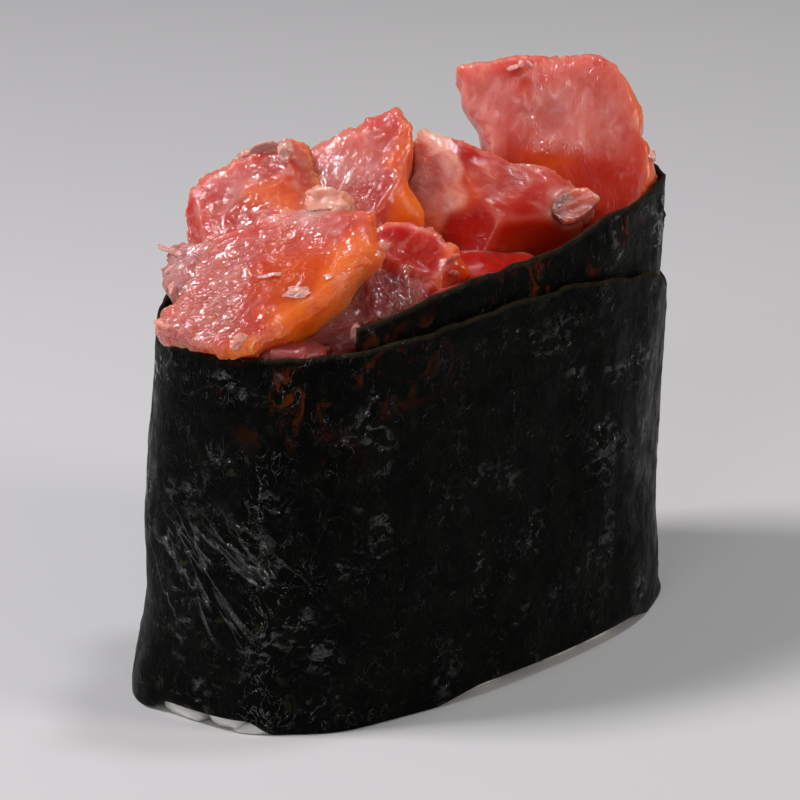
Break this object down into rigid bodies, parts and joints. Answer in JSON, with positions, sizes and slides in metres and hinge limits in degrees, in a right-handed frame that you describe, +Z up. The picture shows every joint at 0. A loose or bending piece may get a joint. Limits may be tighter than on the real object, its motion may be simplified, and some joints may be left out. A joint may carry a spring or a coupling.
{
  "type": "tuna gunkan maki",
  "caption": "Oval sushi of rice wrapped in a tall sloping band of nori and heaped with cut pieces of raw tuna",
  "frame": {"origin": "under the middle of the bounding box, in the plane it rests on", "axes": "+X along the band towards its taller end, +Z up, -Y out of the long side where the nori laps over its own start"},
  "size_m": [0.0514, 0.0276, 0.046],
  "materials": {
    "nori": "toasted dried seaweed, near black with a green cast, wrinkled and slightly glossy",
    "rice": "cooked short-grain rice, sticky and moist",
    "tuna_pink": "raw tuna, pink, wet and translucent",
    "tuna_red": "raw tuna, deep red, wet and translucent",
    "tuna_dark": "raw tuna, dark purple-red, wet and ribbed",
    "tuna_fat": "pale translucent scrap of tuna, wet"
  },
  "bodies": {
    "root": {"nori": "nori", "rice": "rice", "tuna_front_slab": "tuna_pink", "tuna_tall_slab": "tuna_pink", "tuna_back_middle": "tuna_pink", "tuna_back_left": "tuna_pink", "tuna_back_right": "tuna_pink", "tuna_frayed": "tuna_pink", "tuna_long_piece": "tuna_red", "tuna_small_red": "tuna_red", "tuna_back_centre": "tuna_red", "tuna_base_front": "tuna_red", "tuna_base_right": "tuna_red", "tuna_ribbed": "tuna_dark", "tuna_under_slab": "tuna_dark", "tuna_base_left": "tuna_dark", "tuna_base_back": "tuna_dark", "tuna_fat_scrap": "tuna_fat", "tuna_pale_wedge": "tuna_fat"}
  },
  "joints": []
}
